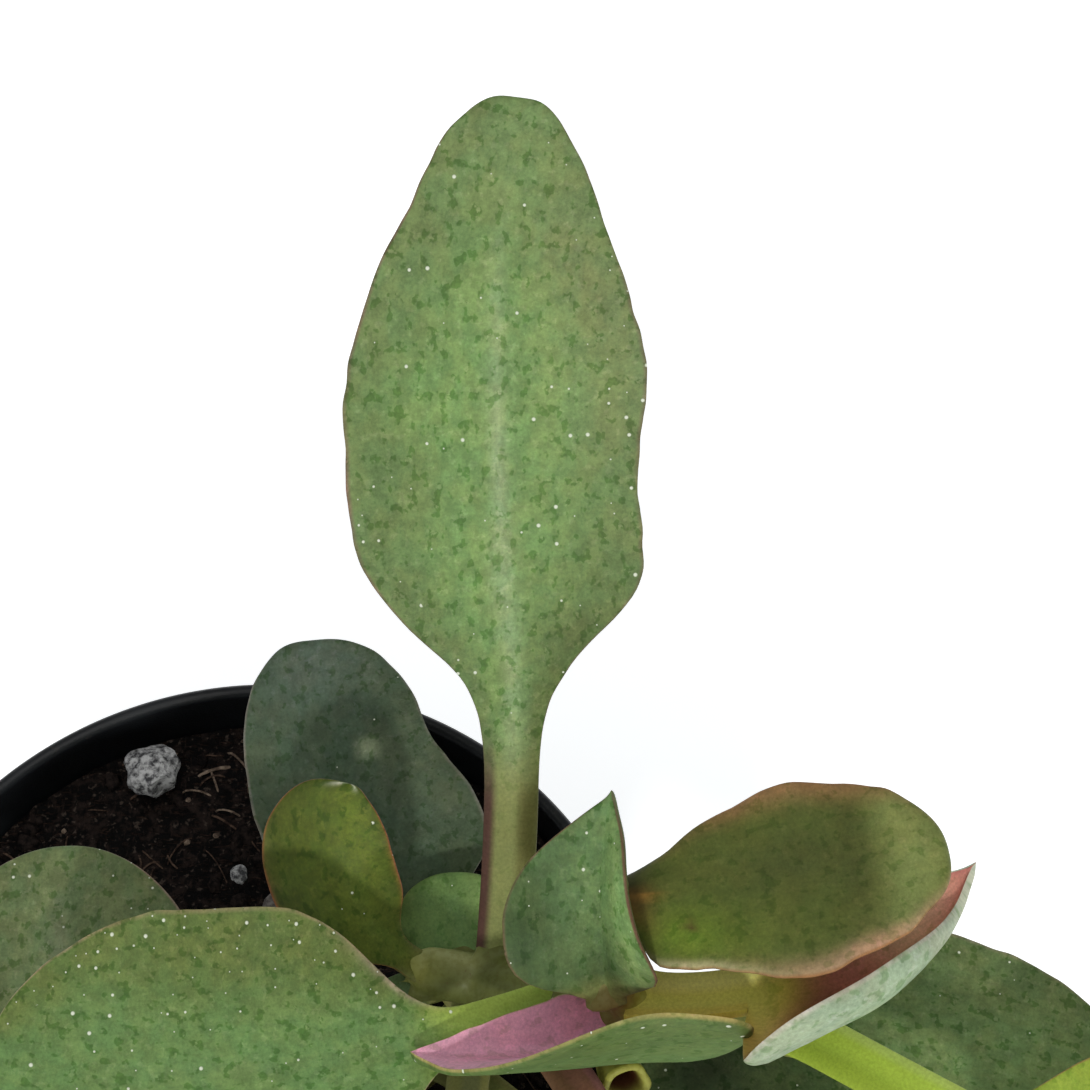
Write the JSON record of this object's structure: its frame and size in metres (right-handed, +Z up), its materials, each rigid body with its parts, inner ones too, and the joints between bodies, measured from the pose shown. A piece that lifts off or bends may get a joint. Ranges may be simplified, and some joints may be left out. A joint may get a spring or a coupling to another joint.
{
  "type": "potted crassula",
  "caption": "Young crassula with broad fleshy leaves on short stems, growing in peaty soil in a plain round black nursery pot.",
  "frame": {"origin": "centre of the pot's flat underside, on the surface that it stands on", "axes": "+Z up along the pot's axis; the tall leaf leans towards +Y, and the longest shoot grows towards +X"},
  "size_m": [0.1638, 0.1408, 0.1492],
  "materials": {
    "pot_plastic": "moulded black plastic with a soft sheen",
    "soil_mix": "damp dark peat with fibres and crumbs",
    "perlite": "chalky pale grey crumb",
    "pebble": "small grey stone",
    "stem_green": "smooth fleshy olive stem",
    "leaf_green": "waxy mottled green with a purple-brown margin",
    "leaf_dark": "waxy dark bluish green",
    "leaf_yellow": "waxy yellow-green with an orange-brown margin",
    "leaf_purple": "waxy green leaf with a pinkish purple underside"
  },
  "bodies": {
    "root": {"pot": "pot_plastic", "soil": "soil_mix", "perlite_large": "perlite", "perlite_small": "perlite", "perlite_flake": "perlite", "pebble": "pebble", "stem_main": "stem_green", "stem_left": "stem_green", "stem_front": "stem_green", "leaf_tall": "leaf_green", "leaf_dark_back": "leaf_dark", "leaf_yellow": "leaf_yellow", "leaf_round": "leaf_green", "leaf_tiny": "leaf_dark", "leaf_wide_left": "leaf_green", "leaf_folded": "leaf_green", "leaf_olive": "leaf_yellow", "leaf_cupped_right": "leaf_purple", "leaf_cupped_left": "leaf_purple", "leaf_low_right": "leaf_dark", "leaf_bright_right": "leaf_yellow", "leaf_low_front": "leaf_dark", "leaf_tall_front": "leaf_green", "leaf_low_corner": "leaf_dark", "leaf_left_back": "leaf_green", "leaf_left_front": "leaf_green", "leaf_left_outer": "leaf_green", "leaf_left_inner": "leaf_green", "leaf_front_left": "leaf_green", "leaf_front_right": "leaf_green", "leaf_front_top": "leaf_yellow"}
  },
  "joints": []
}
